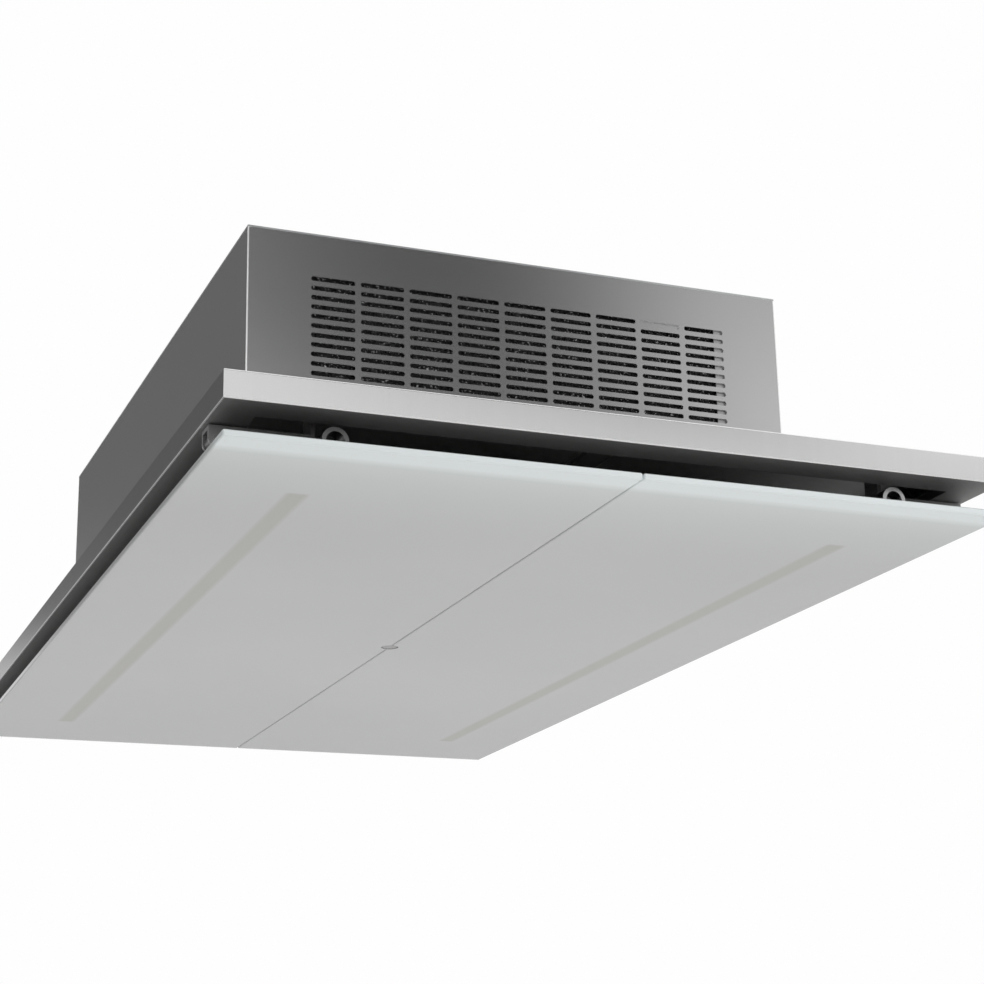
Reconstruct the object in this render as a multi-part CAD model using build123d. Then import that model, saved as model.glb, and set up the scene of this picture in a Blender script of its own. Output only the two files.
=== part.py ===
"""Ceiling range hood, recirculating, with two drop-down glass panels and suction round its edge.

The hood hangs under a ceiling. From the top down it is a sheet-steel housing that holds the blower, a flat
steel tray with a rim, and two white glass panels side by side. Air is drawn in through the gap between the
glass and the rim, up through two grease filters in the tray, and blown out through charcoal cassettes and
the slots in both ends of the housing.

Frame: millimetres. The origin is the centre of the face that meets the ceiling. +Z is up, +Y runs along the
hood's length and +X across it. "near" is -Y, "far" is +Y, "left" is -X and "right" is +X.
"""

import math
import os

from build123d import *

# ---------------------------------------------------------------- driving sizes, mm
# Rim and tray
hood_length = 900.0
hood_width = 500.0
rim_height = 17.0
rim_sheet = 1.0
rim_bend = 1.0
rim_flange = 25.0
rim_top_fold = 12.0
rim_lip = 6.0
deck_sheet = 1.0
deck_side_clearance = 0.3

# Housing
housing_length = 564.0
housing_width = 386.0
housing_height = 166.0
housing_sheet = 1.2
housing_edge_round = 0.5
fold_depth = 10.0
fold_gap = 0.5
fold_relief = 3.0

# Ceiling face
ceiling_hole_radius = 4.0
ceiling_holes_x = 300.0
ceiling_holes_y = 480.0
cable_radius = 4.0
grommet_wall = 3.0
grommet_length = 8.0
grommet_flange = 3.0
cable_side_inset = 53.0
cable_cassette_gap = 50.2

# Outlet slots in both ends of the housing
slot_length = 30.0
slot_height = 3.2
slot_corner = 1.4
slot_pitch_x = 33.8
slot_pitch_z = 6.55
slot_columns = 9
slot_rows = 16
slot_first_row_drop = 31.6

# Glass panels
suction_gap = 17.7
glass_thickness = 4.0
glass_corner = 1.2
glass_edge_chamfer = 0.6
seam_gap = 0.8

# Lights on the panels
light_edge_inset = 68.5
light_end_inset = 89.0
light_width = 12.7
light_channel_wall = 1.2
light_channel_height = 9.0
light_channel_end = 5.0
diffuser_thickness = 1.5
light_board_thickness = 1.2
led_pitch = 25.0
led_size = 3.5
led_height = 1.0
light_fit = 0.1

# Panel hinges
hinge_end_inset = 50.0
hinge_edge_inset = 7.0
hinge_pin_radius = 2.0
hinge_running_gap = 0.05
hinge_barrel_radius = 3.5
hinge_barrel_length = 10.0
hinge_side_gap = 0.3
hinge_ear = 2.0
hinge_ear_radius = 4.2
hinge_strap = 2.5
hinge_strap_under_rim = 1.0
hinge_arm = 55.0
hinge_foot_length = 24.0
hinge_leaf_thickness = 2.0
hinge_leaf_length = 71.0
hinge_leaf_outward = 32.0
hinge_leaf_inward = 8.0
hinge_web = 4.0
hinge_arch_radius = 8.0
hinge_arch_rise = 4.3
hinge_arch_sheet = 2.5
hinge_arch_width = 10.0

# Silicone buffers on the glass, near its corners
buffer_radius = 5.5
buffer_height = 9.0
buffer_inset_x = 12.0
buffer_inset_y = 64.0
buffer_round = 3.0

# Magnetic catches on the centre rail
catch_end_inset = 150.0
catch_stem_x = 12.0
catch_stem_y = 16.0
catch_foot_x = 48.0
catch_foot_y = 24.0
catch_foot_thickness = 2.0
magnet_x = 16.0
magnet_y = 20.0
magnet_height = 5.0
magnet_from_centre = 14.0
magnet_gap = 0.3
strike_thickness = 1.2
strike_x = 18.0
strike_y = 26.0

# Centre rail and remote-control receiver
rail_width = 16.0
rail_thickness = 3.0
rail_end_gap = 3.0
receiver_y = 0.0
receiver_radius = 6.0
receiver_notch_gap = 0.6
lens_length = 4.0
lens_recess = 0.2
lens_round = 1.0

# Grease filters
filter_side_inset = 16.7
filter_end_inset = 18.0
filter_thickness = 9.0
filter_rail = 10.0
filter_clearance = 0.3
filter_overlap = 9.0
mesh_thickness = 6.0
ledge_sheet = 1.2
ledge_toe = 8.0
ledge_foot = 12.0
ledge_end_inset = 14.0

# Filter latches
latch_y = -75.0
latch_width = 28.0
latch_thickness = 1.5
latch_length = 31.0
latch_engagement = 3.5
latch_pull_height = 9.0
latch_pull_thickness = 3.0
latch_gap = 0.3
latch_guide = 3.0
latch_guide_toe = 2.0
latch_guide_length = 14.0
latch_plate = 1.0
latch_spring_length = 12.0
latch_spring_radius = 2.2
latch_spring_wire = 0.6
latch_spring_turns = 6
latch_stop = 2.0
keeper_web = 2.0
keeper_base = 1.5
keeper_filter_gap = 1.8
keeper_width = 24.0

# Partition tray under the blower
partition_height = 21.0
partition_sheet = 1.0
partition_clearance = 0.5

# Blower
blower_x = 12.0
scroll_control_gap = 12.2
scroll_wall = 2.0
scroll_start_radius = 112.0
scroll_growth = 68.0
scroll_start_deg = 200.0
scroll_end_deg = 540.0
scroll_points = 16
scroll_outlet_gap = 27.0
inlet_radius = 88.0
inlet_ring_wall = 2.0
inlet_ring_height = 8.0
inlet_ring_flange = 9.0
impeller_radius = 102.0
impeller_inner_radius = 86.0
impeller_gap = 6.0
impeller_plate = 2.0
impeller_ring = 4.0
impeller_hub_radius = 16.0
impeller_hub_length = 30.0
impeller_blades = 36
blade_thickness = 1.2
blade_angle = 55.0
shaft_radius = 4.0
shaft_running_gap = 0.05
motor_radius = 55.0
motor_height = 26.0
motor_top_gap = 6.8
motor_round = 4.0
motor_lug_radius = 8.0
motor_lug_height = 5.0
motor_lug_circle = 60.0
motor_opening_radius = 20.0
mount_radius = 6.0
mount_height = 4.0
bearing_outer_radius = 11.0
bearing_width = 7.0
bearing_fit = 0.02

# Charcoal cassettes behind the slots
media_left_margin = 5.8
media_right_shortfall = 6.2
media_row_margin = 2.0
cassette_thickness = 14.0
cassette_frame = 12.0
cassette_wall_gap = 1.6
channel_sheet = 0.8
channel_gap = 0.2
clip_column = 3
clip_width = 36.0
clip_below_row = 4.0

# Control electronics
control_length = 190.0
control_depth = 44.0
control_height = 62.0
control_wall = 2.0
control_lid_lip = 3.0
control_lid_gap = 0.3
control_y_gap = 4.0
board_thickness = 1.6
board_standoff = 4.0
board_gap = 1.0
transformer_x = -53.0
transformer_length = 34.0
transformer_width = 28.0
transformer_height = 30.0
relay_x = -14.5
relay_pitch = 20.0
relay_length = 15.0
relay_width = 18.0
relay_height = 16.0
relay_count = 3
connector_x = 67.0
connector_length = 34.0
connector_width = 12.0
connector_height = 12.0
driver_length = 130.0
driver_width = 42.0
driver_height = 28.0
driver_terminal_gap = 14.0
terminal_length = 62.0
terminal_width = 24.0
terminal_height = 20.0
terminal_ways = 6
terminal_screw_radius = 2.4

# Screws that hold the housing on the tray
screw_radius = 1.7
screw_hole_gap = 0.1
screw_head_radius = 3.5
screw_head_height = 2.2
screw_length = 7.0
screw_corner_y = 77.0
screw_corner_x = 63.0

# ---------------------------------------------------------------- levels and edges worked out from them
half_width = hood_width / 2
half_length = hood_length / 2
housing_x = housing_width / 2
housing_y = housing_length / 2

wall_top_z = -housing_sheet
rim_top_z = -housing_height
rim_bottom_z = rim_top_z - rim_height
deck_top_z = rim_top_z - rim_sheet
deck_bottom_z = deck_top_z - deck_sheet
glass_top_z = rim_bottom_z - suction_gap
glass_bottom_z = glass_top_z - glass_thickness

rail_bottom_z = deck_bottom_z - rail_thickness
filter_inner_x = rail_width / 2 + filter_clearance
filter_outer_x = housing_x - filter_side_inset
filter_length = housing_length - 2 * filter_end_inset
filter_top_z = deck_bottom_z - filter_clearance
filter_bottom_z = filter_top_z - filter_thickness
latch_top_z = filter_bottom_z - latch_gap
latch_bottom_z = latch_top_z - latch_thickness
keeper_base_x = filter_inner_x - keeper_filter_gap
latch_tip_x = keeper_base_x - latch_engagement
latch_tail_x = latch_tip_x + latch_length

partition_top_z = deck_top_z + partition_height
scroll_top_z = wall_top_z - motor_top_gap - motor_height - mount_height
scroll_height = scroll_top_z - partition_top_z

light_offset_x = half_width - light_edge_inset
light_length = hood_length - 2 * light_end_inset
catch_y = half_length - catch_end_inset
hinge_y = half_length - hinge_end_inset
hinge_pin_x = half_width - hinge_edge_inset
hinge_pin_z = rim_bottom_z - suction_gap / 2
hinge_foot_x = hinge_pin_x - hinge_arm
strike_top_z = glass_top_z + strike_thickness
magnet_bottom_z = strike_top_z + magnet_gap

slot_field_x = (slot_pitch_x * (slot_columns - 1) + slot_length) / 2
slot_last_row_drop = slot_first_row_drop + slot_pitch_z * (slot_rows - 1)
media_left = -slot_field_x - media_left_margin
media_right = slot_field_x - media_right_shortfall
media_top_z = slot_height / 2 + media_row_margin - slot_first_row_drop
media_bottom_z = -slot_last_row_drop - slot_height / 2 - media_row_margin
cassette_top_z = media_top_z + cassette_frame
cassette_front_y = -housing_y + housing_sheet + cassette_wall_gap
cassette_back_y = cassette_front_y + cassette_thickness
scroll_outlet_y = cassette_back_y + scroll_outlet_gap
cable_x = housing_x - cable_side_inset
cable_y = cassette_back_y + cable_cassette_gap
control_y = -cassette_back_y - channel_gap - channel_sheet - control_y_gap - control_depth / 2


# ---------------------------------------------------------------- helpers
def block(x0, x1, y0, y1, z0, z1):
    """A box between two opposite corners."""
    size = Box(abs(x1 - x0), abs(y1 - y0), abs(z1 - z0))
    return Pos((x0 + x1) / 2, (y0 + y1) / 2, (z0 + z1) / 2) * size


def centred(x, y, size_x, size_y, z0, z1):
    """A box whose plan is centred on a point, between two levels."""
    return Pos(x, y, (z0 + z1) / 2) * Box(size_x, size_y, abs(z1 - z0))


def rod(x, y, z0, z1, radius):
    """An upright cylinder between two levels."""
    return Pos(x, y, (z0 + z1) / 2) * Cylinder(radius, abs(z1 - z0))


def rod_along_y(x, z, y0, y1, radius):
    """A cylinder that lies along Y."""
    return Pos(x, (y0 + y1) / 2, z) * Rot(90, 0, 0) * Cylinder(radius, abs(y1 - y0))


def across(shape):
    """The same piece on the other side of the hood, left for right."""
    return mirror(shape, about=Plane.YZ)


def other_end(shape):
    """The same piece at the far end of the hood, near for far."""
    return mirror(shape, about=Plane.XZ)


def turned(shape):
    """The same piece turned half round the hood's upright axis."""
    return Rot(0, 0, 180) * shape


def save(name, *pieces):
    """Writes one node, as one solid or as a group of separate solids."""
    solids = [solid for piece in pieces for solid in piece.solids()]
    shape = solids[0] if len(solids) == 1 else Compound(children=solids)
    export_step(shape, os.path.join("parts", name + ".step"))


def deck_screw_places():
    """Centres of the screws that join the tray to the housing's bottom folds."""
    side_x = housing_x - housing_sheet - fold_depth / 2
    end_y = housing_y - housing_sheet - fold_depth / 2
    sides = [(sx * side_x, k * (housing_y - screw_corner_y)) for sx in (-1, 1) for k in (-1, 0, 1)]
    ends = [(sx * (housing_x - screw_corner_x), sy * end_y) for sx in (-1, 1) for sy in (-1, 1)]
    return sides + ends


def with_screw_holes(shape):
    """A sheet part with the holes that the tray's screws pass through."""
    for x, y in deck_screw_places():
        shape -= rod(x, y, deck_bottom_z - deck_sheet, deck_top_z + 2 * housing_sheet,
                     screw_radius + screw_hole_gap)
    return shape


# ---------------------------------------------------------------- housing
def side_panel():
    """Right-hand wall of the housing, folded inwards along its top and bottom."""
    inner = housing_x - housing_sheet
    end = housing_y - housing_sheet
    fold_end = end - fold_depth - fold_gap
    wall = block(inner, housing_x, -end, end, deck_top_z, wall_top_z)
    top = block(inner - fold_depth, inner, -fold_end, fold_end, wall_top_z - housing_sheet, wall_top_z)
    bottom = block(inner - fold_depth, inner, -fold_end, fold_end, deck_top_z, deck_top_z + housing_sheet)
    return with_screw_holes(wall + top + bottom)


def outlet_slots():
    """Cutters for the slots in the near end of the housing."""
    middle_z = -(slot_first_row_drop + slot_last_row_drop) / 2
    face = Plane((0, -housing_y, middle_z), x_dir=(1, 0, 0), z_dir=(0, -1, 0))
    grid = GridLocations(slot_pitch_x, slot_pitch_z, slot_columns, slot_rows)
    slots = Sketch() + [face * place * RectangleRounded(slot_length, slot_height, slot_corner)
                        for place in grid]
    return extrude(slots, amount=2 * housing_sheet, both=True)


def vent_panel():
    """Near end of the housing: a slotted wall that laps the side walls, folded inwards on all four sides."""
    inner = -housing_y + housing_sheet
    fold_x = housing_x - housing_sheet - fold_depth - fold_gap
    wall = block(-housing_x, housing_x, -housing_y, inner, deck_top_z, wall_top_z)
    corners = wall.edges().filter_by(Axis.Z).group_by(Axis.Y)[0]
    wall = fillet(corners, housing_edge_round)
    panel = wall - outlet_slots()
    panel += block(-fold_x, fold_x, inner, inner + fold_depth, wall_top_z - housing_sheet, wall_top_z)
    panel += block(-fold_x, fold_x, inner, inner + fold_depth, deck_top_z, deck_top_z + housing_sheet)
    tab_x = housing_x - housing_sheet
    tab = block(tab_x - housing_sheet, tab_x, inner, inner + fold_depth,
                deck_top_z + fold_relief, wall_top_z - fold_relief)
    panel += tab
    panel += across(tab)
    return with_screw_holes(panel)


def top_plate():
    """The plate that meets the ceiling, with four fixing holes and the cable hole."""
    plate = block(-housing_x, housing_x, -housing_y, housing_y, wall_top_z, 0)
    for place in GridLocations(ceiling_holes_x, ceiling_holes_y, 2, 2):
        plate -= place * Cylinder(ceiling_hole_radius, 4 * housing_sheet)
    plate -= rod(cable_x, cable_y, -2 * housing_sheet, housing_sheet, cable_radius + grommet_wall)
    return plate


def cable_grommet():
    """Rubber grommet for the mains cable, flush with the ceiling face."""
    sleeve = rod(cable_x, cable_y, -grommet_length, 0, cable_radius + grommet_wall)
    flange = rod(cable_x, cable_y, wall_top_z - grommet_flange, wall_top_z,
                 cable_radius + grommet_wall + grommet_flange)
    return sleeve + flange - rod(cable_x, cable_y, -2 * grommet_length, grommet_length, cable_radius)


# ---------------------------------------------------------------- rim and tray
def rim_ring():
    """The whole rim before it is parted: skirt, bottom flange with a raised lip, and a fold along the top."""
    ring = block(-half_width, half_width, -half_length, half_length, rim_bottom_z, rim_top_z)
    ring = fillet(ring.edges().filter_by(Axis.Z, reverse=True), rim_bend)
    skirt_x = half_width - rim_sheet
    skirt_y = half_length - rim_sheet
    fold_x = half_width - rim_top_fold
    fold_y = half_length - rim_top_fold
    open_x = half_width - rim_flange
    open_y = half_length - rim_flange
    ring -= block(-skirt_x, skirt_x, -skirt_y, skirt_y, rim_bottom_z + rim_sheet, rim_top_z - rim_sheet)
    ring -= block(-fold_x, fold_x, -fold_y, fold_y, rim_bottom_z + rim_sheet, rim_top_z + rim_sheet)
    lip = block(-open_x - rim_sheet, open_x + rim_sheet, -open_y - rim_sheet, open_y + rim_sheet,
                rim_bottom_z, rim_bottom_z + rim_lip)
    ring += lip
    ring -= block(-open_x, open_x, -open_y, open_y, rim_bottom_z - rim_sheet, rim_top_z)
    return ring


def rim_members():
    """The rim's four lengths, mitred at the corners: near, far, left and right."""
    ring = rim_ring()
    reach = 2 * rim_flange
    x, y = half_width, half_length
    end_outline = Polyline((-x, -y), (x, -y), (x - reach, -y + reach), (-x + reach, -y + reach), close=True)
    side_outline = Polyline((x, -y), (x, y), (x - reach, y - reach), (x - reach, -y + reach), close=True)
    low = Pos(0, 0, rim_bottom_z - rim_height)
    end_wedge = extrude(low * make_face(end_outline), amount=3 * rim_height, dir=(0, 0, 1))
    side_wedge = extrude(low * make_face(side_outline), amount=3 * rim_height, dir=(0, 0, 1))
    near = ring & end_wedge
    right = ring & side_wedge
    return near, other_end(near), across(right), right


def deck_plate():
    """Flat top of the tray, under the rim's top fold, with one opening over each grease filter."""
    x = half_width - rim_sheet - deck_side_clearance
    y = half_length - rim_sheet - deck_side_clearance
    plate = block(-x, x, -y, y, deck_bottom_z, deck_top_z)
    opening = block(filter_inner_x + filter_overlap, filter_outer_x - filter_overlap,
                    -filter_length / 2 + filter_overlap, filter_length / 2 - filter_overlap,
                    deck_bottom_z - deck_sheet, deck_top_z + deck_sheet)
    plate -= opening
    plate -= across(opening)
    return with_screw_holes(plate)


def deck_screws():
    """Pan-head screws driven up through the tray into the housing's folds."""
    screws = []
    for x, y in deck_screw_places():
        low = deck_bottom_z - screw_head_height
        head = rod(x, y, low, deck_bottom_z, screw_head_radius)
        shank = rod(x, y, deck_bottom_z, deck_bottom_z + screw_length, screw_radius)
        recess = rod(x, y, low, low + screw_head_height / 2, screw_radius)
        screws.append(head + shank - recess)
    return screws


def centre_rail():
    """Flat bar along the middle of the tray that carries the catches and the receiver."""
    length = hood_length - 2 * (rim_flange + rim_sheet + rail_end_gap)
    return centred(0, 0, rail_width, length, rail_bottom_z, deck_bottom_z)


# ---------------------------------------------------------------- grease filters
def filter_frame():
    """Right-hand filter's frame, with the plate, guides and stop for its latch."""
    end = filter_length / 2
    frame = block(filter_inner_x, filter_outer_x, -end, end, filter_bottom_z, filter_top_z)
    frame -= block(filter_inner_x + filter_rail, filter_outer_x - filter_rail, -end + filter_rail,
                   end - filter_rail, filter_bottom_z - filter_rail, filter_top_z + filter_rail)
    half = latch_width / 2
    stop_x = latch_tail_x + latch_spring_length
    guide_y = half + latch_gap
    plate_y = guide_y + latch_guide
    frame += block(filter_inner_x, stop_x + latch_stop, latch_y - plate_y, latch_y + plate_y,
                   filter_bottom_z, filter_bottom_z + latch_plate)
    toe_z = latch_bottom_z - latch_gap
    for side in (-1, 1):
        inner = latch_y + side * guide_y
        outer = latch_y + side * plate_y
        toe = latch_y + side * (half - latch_guide_toe)
        start_x = filter_inner_x + latch_gap
        end_x = start_x + latch_guide_length
        frame += block(start_x, end_x, inner, outer, toe_z - latch_thickness, filter_bottom_z)
        frame += block(start_x, end_x, toe, outer, toe_z - latch_thickness, toe_z)
    frame += block(stop_x, stop_x + latch_stop, latch_y - half / 2, latch_y + half / 2,
                   latch_bottom_z - latch_pull_height / 2, filter_bottom_z)
    return frame


def filter_mesh():
    """Right-hand filter's pack of expanded mesh."""
    end = filter_length / 2 - filter_rail
    low = filter_bottom_z + latch_plate
    return block(filter_inner_x + filter_rail, filter_outer_x - filter_rail, -end, end,
                 low, low + mesh_thickness)


def filter_latch():
    """Right-hand filter's sliding latch: a flat bolt with a finger pull."""
    half = latch_width / 2
    bolt = block(latch_tip_x, latch_tail_x, latch_y - half, latch_y + half, latch_bottom_z, latch_top_z)
    tip = bolt.edges().filter_by(Axis.Z).group_by(Axis.X)[0]
    bolt = chamfer(tip, latch_thickness)
    pull = block(latch_tail_x - latch_pull_thickness, latch_tail_x, latch_y - half, latch_y + half,
                 latch_bottom_z - latch_pull_height, latch_bottom_z)
    pull = fillet(pull.edges().filter_by(Axis.X).group_by(Axis.Z)[0], latch_pull_thickness)
    return bolt + pull


def latch_spring():
    """Coil spring between the right-hand latch's pull and the stop on the filter."""
    length = latch_spring_length - latch_spring_wire - 2 * latch_gap
    path = Helix(length / latch_spring_turns, length, latch_spring_radius)
    start = Plane(path @ 0, z_dir=path % 0)
    coil = sweep(start * Circle(latch_spring_wire / 2), path=path, is_frenet=True)
    first_x = latch_tail_x + latch_gap + latch_spring_wire / 2
    level = latch_bottom_z - latch_spring_radius
    return Pos(first_x, latch_y, level) * Rot(0, 90, 0) * coil


def filter_ledge():
    """Folded ledge along the right-hand filter's outer edge."""
    end = filter_length / 2 - ledge_end_inset
    web_x = filter_outer_x + filter_clearance
    toe_top = filter_bottom_z - filter_clearance
    web = block(web_x, web_x + ledge_sheet, -end, end, toe_top - ledge_sheet, deck_bottom_z)
    toe = block(filter_outer_x - ledge_toe, web_x, -end, end, toe_top - ledge_sheet, toe_top)
    foot = block(web_x, web_x + ledge_foot, -end, end, deck_bottom_z - ledge_sheet, deck_bottom_z)
    for x, y in deck_screw_places():
        foot -= rod(x, y, deck_bottom_z - 2 * ledge_sheet, deck_bottom_z,
                    screw_head_radius + filter_clearance)
    return web + toe + foot


def latch_keeper():
    """Small T bracket under the centre rail that both latches rest on."""
    base_top = latch_bottom_z - latch_gap
    web = centred(0, latch_y, keeper_web, keeper_width, base_top, rail_bottom_z)
    base = centred(0, latch_y, 2 * keeper_base_x, keeper_width, base_top - keeper_base, base_top)
    return web + base


# ---------------------------------------------------------------- catches and receiver
def catch_bracket():
    """Near bracket under the centre rail, with a foot that carries two magnets."""
    foot_bottom = magnet_bottom_z + magnet_height
    foot_top = foot_bottom + catch_foot_thickness
    stem = centred(0, -catch_y, catch_stem_x, catch_stem_y, foot_top, rail_bottom_z)
    foot = centred(0, -catch_y, catch_foot_x, catch_foot_y, foot_bottom, foot_top)
    return stem + foot


def catch_magnet():
    """Right-hand magnet of the near bracket."""
    return centred(magnet_from_centre, -catch_y, magnet_x, magnet_y,
                   magnet_bottom_z, magnet_bottom_z + magnet_height)


def receiver_body():
    """Stem that holds the remote-control receiver at the seam between the panels."""
    low = glass_bottom_z + lens_recess + lens_length
    flange = centred(0, receiver_y, rail_width, rail_width, rail_bottom_z - rail_thickness, rail_bottom_z)
    return flange + rod(0, receiver_y, low, rail_bottom_z, receiver_radius)


def receiver_lens():
    """Round lens of the receiver, just above the panels' lower face."""
    low = glass_bottom_z + lens_recess
    lens = rod(0, receiver_y, low, low + lens_length, receiver_radius)
    return fillet(lens.edges().group_by(Axis.Z)[0], lens_round)


# ---------------------------------------------------------------- glass panels and what is bonded to them
def glass_panel():
    """Right-hand glass panel, with a half-round notch at the seam for the receiver."""
    glass = block(seam_gap / 2, half_width, -half_length, half_length, glass_bottom_z, glass_top_z)
    glass = fillet(glass.edges().filter_by(Axis.Z), glass_corner)
    rims = glass.edges().group_by(Axis.Z)
    glass = chamfer(rims[0] + rims[-1], glass_edge_chamfer)
    notch = receiver_radius + receiver_notch_gap
    return glass - rod(0, receiver_y, glass_bottom_z - notch, glass_top_z + notch, notch)


def light_channel():
    """Right-hand panel's aluminium light channel, open downwards on the glass."""
    inner_width = light_width + 2 * light_fit
    inner_length = light_length + 2 * light_fit
    top = glass_top_z + light_channel_height
    outer_width = inner_width + 2 * light_channel_wall
    outer_length = light_length + 2 * light_channel_end
    outer = centred(light_offset_x, 0, outer_width, outer_length, glass_top_z, top)
    top_edges = outer.edges().filter_by(Axis.Y).group_by(Axis.Z)[-1]
    outer = fillet(top_edges, light_channel_wall)
    return outer - centred(light_offset_x, 0, inner_width, inner_length,
                           glass_top_z - light_channel_wall, top - light_channel_wall)


def light_board():
    """Right-hand circuit strip with its row of light-emitting diodes."""
    top = glass_top_z + light_channel_height - light_channel_wall
    low = top - light_board_thickness
    board = centred(light_offset_x, 0, light_width, light_length, low, top)
    count = int(light_length // led_pitch)
    for place in GridLocations(1, led_pitch, 1, count):
        board += Pos(light_offset_x, 0, low - led_height / 2) * place * Box(led_size, led_size, led_height)
    return board


def light_diffuser():
    """Right-hand opal strip that lies on the glass, over the clear window in its paint."""
    return centred(light_offset_x, 0, light_width, light_length,
                   glass_top_z, glass_top_z + diffuser_thickness)


def strike_plate():
    """Right-hand near steel plate that the magnet holds."""
    return centred(magnet_from_centre, -catch_y, strike_x, strike_y, glass_top_z, strike_top_z)


def corner_buffer():
    """Right-hand near silicone buffer on the glass."""
    dome = rod(half_width - buffer_inset_x, -half_length + buffer_inset_y, glass_top_z,
               glass_top_z + buffer_height, buffer_radius)
    return fillet(dome.edges().group_by(Axis.Z)[-1], buffer_round)


# ---------------------------------------------------------------- hinges
def hinge_bracket():
    """Right-hand near hinge bracket: a bent strap from the tray's underside to a fork at the pin."""
    half = hinge_barrel_length / 2 + hinge_side_gap + hinge_ear
    y0, y1 = -hinge_y - half, -hinge_y + half
    strap_top = rim_bottom_z - hinge_strap_under_rim
    strap_low = strap_top - hinge_strap
    foot = block(hinge_foot_x - hinge_foot_length, hinge_foot_x, y0, y1,
                 deck_bottom_z - hinge_strap, deck_bottom_z)
    leg = block(hinge_foot_x - hinge_strap, hinge_foot_x, y0, y1, strap_low, deck_bottom_z)
    arm = block(hinge_foot_x - hinge_strap, hinge_pin_x + hinge_ear_radius, y0, y1, strap_low, strap_top)
    bracket = foot + leg + arm
    for side in (-1, 1):
        inner = -hinge_y + side * (half - hinge_ear)
        outer = -hinge_y + side * half
        bracket += block(hinge_pin_x - hinge_ear_radius, hinge_pin_x + hinge_ear_radius, inner, outer,
                         hinge_pin_z, strap_low)
        bracket += rod_along_y(hinge_pin_x, hinge_pin_z, inner, outer, hinge_ear_radius)
    return bracket - rod_along_y(hinge_pin_x, hinge_pin_z, y0 - half, y1 + half, hinge_pin_radius)


def hinge_pin():
    """Right-hand near hinge pin."""
    half = hinge_barrel_length / 2 + hinge_side_gap + hinge_ear
    return rod_along_y(hinge_pin_x, hinge_pin_z, -hinge_y - half, -hinge_y + half, hinge_pin_radius)


def hinge_leaf():
    """Right-hand near hinge leaf: a plate bonded to the glass, a web, a barrel and an arched spring clip."""
    half = hinge_barrel_length / 2
    inner_x = hinge_pin_x - hinge_leaf_length
    plate_top = glass_top_z + hinge_leaf_thickness
    plate = block(inner_x, hinge_pin_x + hinge_web / 2, -hinge_y - hinge_leaf_outward,
                  -hinge_y + hinge_leaf_inward, glass_top_z, plate_top)
    inner_corners = plate.edges().filter_by(Axis.Z).group_by(Axis.X)[0]
    plate = fillet(inner_corners, hinge_leaf_thickness / 2)
    arch_x = inner_x + hinge_arch_radius + hinge_leaf_thickness / 2
    arch_y = -hinge_y - hinge_leaf_outward
    arch_z = plate_top + hinge_arch_rise
    arch = rod_along_y(arch_x, arch_z, arch_y, arch_y + hinge_arch_width, hinge_arch_radius)
    arch += block(arch_x - hinge_arch_radius, arch_x + hinge_arch_radius, arch_y, arch_y + hinge_arch_width,
                  plate_top, arch_z)
    inner_radius = hinge_arch_radius - hinge_arch_sheet
    arch -= rod_along_y(arch_x, arch_z, arch_y - hinge_arch_width, arch_y + 2 * hinge_arch_width, inner_radius)
    arch -= block(arch_x - inner_radius, arch_x + inner_radius, arch_y - hinge_arch_width,
                  arch_y + 2 * hinge_arch_width, plate_top, arch_z)
    arch -= block(inner_x - hinge_arch_radius, hinge_pin_x, arch_y - hinge_arch_width,
                  arch_y + 2 * hinge_arch_width, glass_top_z - hinge_arch_radius, plate_top)
    web = block(hinge_pin_x - hinge_web / 2, hinge_pin_x + hinge_web / 2, -hinge_y - half, -hinge_y + half,
                glass_top_z + hinge_leaf_thickness, hinge_pin_z)
    barrel = rod_along_y(hinge_pin_x, hinge_pin_z, -hinge_y - half, -hinge_y + half, hinge_barrel_radius)
    bore = rod_along_y(hinge_pin_x, hinge_pin_z, -hinge_y - 2 * half, -hinge_y + 2 * half,
                       hinge_pin_radius + hinge_running_gap)
    return plate + arch + web + barrel - bore


# ---------------------------------------------------------------- blower
def scroll_radius(angle_deg):
    """Distance from the blower's axis to the scroll's outer face, in a direction counted from +X."""
    share = (angle_deg - scroll_start_deg) / (scroll_end_deg - scroll_start_deg)
    return scroll_start_radius + scroll_growth * share


blower_y = control_y - control_depth / 2 - scroll_control_gap - scroll_radius(450)


def partition_tray():
    """Plate under the blower that parts suction from pressure, standing on the side walls' bottom folds."""
    x = housing_x - 2 * housing_sheet - partition_clearance
    y = housing_y - housing_sheet - partition_clearance
    skirt_y = y - fold_depth - fold_gap
    low = deck_top_z + housing_sheet
    plate = block(-x, x, -y, y, partition_top_z - partition_sheet, partition_top_z)
    skirt = block(x - partition_sheet, x, -skirt_y, skirt_y, low, partition_top_z)
    tray = plate + skirt + across(skirt)
    return tray - rod(blower_x, blower_y, partition_top_z - scroll_wall, partition_top_z + scroll_wall,
                      inlet_radius + inlet_ring_wall)


def volute_outline(inset, outlet_y):
    """Outline of the scroll seen from above, round the blower's axis, moved inwards by inset."""
    spiral = []
    for k in range(scroll_points + 1):
        angle_deg = scroll_start_deg + (scroll_end_deg - scroll_start_deg) * k / scroll_points
        radius = scroll_radius(angle_deg) - inset
        angle = math.radians(angle_deg)
        spiral.append((radius * math.cos(angle), radius * math.sin(angle)))
    tongue_x = scroll_start_radius * math.cos(math.radians(scroll_start_deg)) - inset
    wide_x = spiral[-1][0]
    outlet = [(wide_x, outlet_y), (tongue_x, outlet_y), spiral[0]]
    if inset:
        outlet.insert(2, (tongue_x, spiral[0][1]))
    return make_face(Spline(*spiral) + Polyline(spiral[-1], *outlet))


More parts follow.
